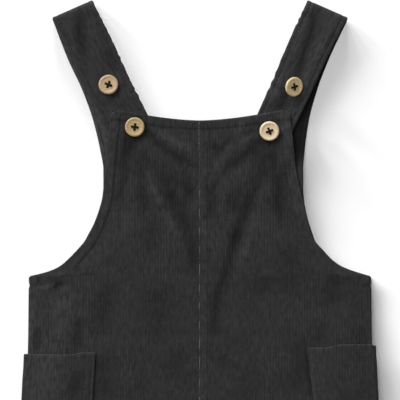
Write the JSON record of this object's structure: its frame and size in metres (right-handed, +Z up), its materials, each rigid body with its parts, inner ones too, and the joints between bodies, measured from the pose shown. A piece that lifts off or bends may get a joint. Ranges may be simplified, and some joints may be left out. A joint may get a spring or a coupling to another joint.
{
  "type": "bib overalls",
  "caption": "Baby's bib overalls in dark ribbed corduroy, laid flat, with wide buttoned straps, a centre-front seam and patch pockets over the side seams.",
  "frame": {"origin": "centre of the laid-out garment's box, on the surface it lies on", "axes": "+Z up off the surface, out of the garment's front; +Y along the garment towards its shoulders; +X across it, to the right as seen from above"},
  "size_m": [0.3135, 0.62, 0.0161],
  "materials": {
    "corduroy": "matte ribbed pile with a soft sheen",
    "button": "satin"
  },
  "bodies": {
    "root": {"front_left": "corduroy", "front_right": "corduroy", "back_left": "corduroy", "back_right": "corduroy", "strap_left": "corduroy", "strap_right": "corduroy", "pocket_left": "corduroy", "pocket_right": "corduroy", "button_upper_left": "button", "button_upper_right": "button", "button_lower_left": "button", "button_lower_right": "button"}
  },
  "joints": []
}
